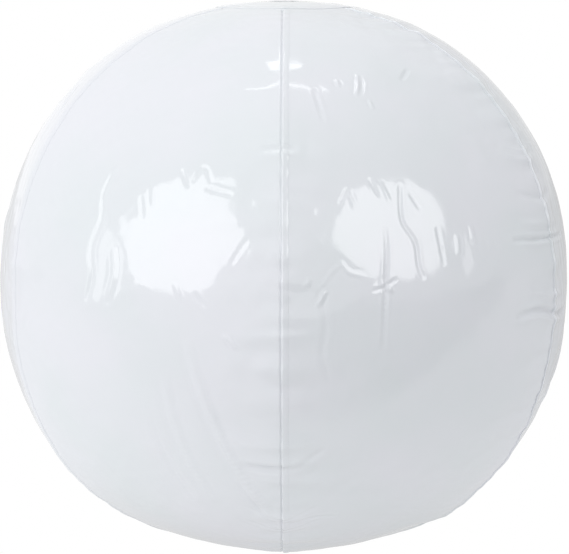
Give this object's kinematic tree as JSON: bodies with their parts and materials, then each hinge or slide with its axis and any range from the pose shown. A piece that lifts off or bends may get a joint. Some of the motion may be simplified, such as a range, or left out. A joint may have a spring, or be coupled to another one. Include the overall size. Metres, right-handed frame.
{
  "type": "inflatable beach ball",
  "caption": "Inflated ball of lengthways film panels with round end discs and a push-in valve in the top disc.",
  "frame": {"origin": "centre of the bottom disc's underside, on the surface that the ball stands on", "axes": "+Z along the ball's axis from the bottom disc to the top disc, -Y towards the front seam, +X to the right when seen from the front"},
  "size_m": [0.4, 0.4168, 0.3846],
  "materials": {
    "panel_film": "glossy opaque white PVC film with a faint cool cast",
    "disc_film": "glossy opaque white PVC film, heat-welded rim",
    "valve_vinyl": "soft moulded white vinyl, satin to glossy"
  },
  "bodies": {
    "ball": {"panel_front_right": "panel_film", "panel_right": "panel_film", "panel_rear_right": "panel_film", "panel_rear_left": "panel_film", "panel_left": "panel_film", "panel_front_left": "panel_film", "bottom_disc": "disc_film", "top_disc": "disc_film", "valve_flange": "valve_vinyl", "valve_collar": "valve_vinyl"},
    "stem": {"valve_stem": "valve_vinyl"},
    "plug": {"valve_plug": "valve_vinyl"},
    "flap": {"check_flap": "valve_vinyl"}
  },
  "joints": [
    {"name": "stem_slide", "type": "slide", "parent": "ball", "child": "stem", "axis": [0, 0, 1], "range_m": [0, 0.009], "deforming": ["valve_collar"]},
    {"name": "plug_hinge", "type": "hinge", "parent": "stem", "child": "plug", "pos_m": [-0.0075, 0, 0.38365], "axis": [0, -1, 0], "range_deg": [0, 120]},
    {"name": "flap_hinge", "type": "hinge", "parent": "stem", "child": "flap", "pos_m": [-0.0042, 0, 0.3698], "axis": [0, 1, 0], "range_deg": [0, 45], "stiffness_Nm_per_rad": 0.0001, "springref_deg": -11.46}
  ]
}
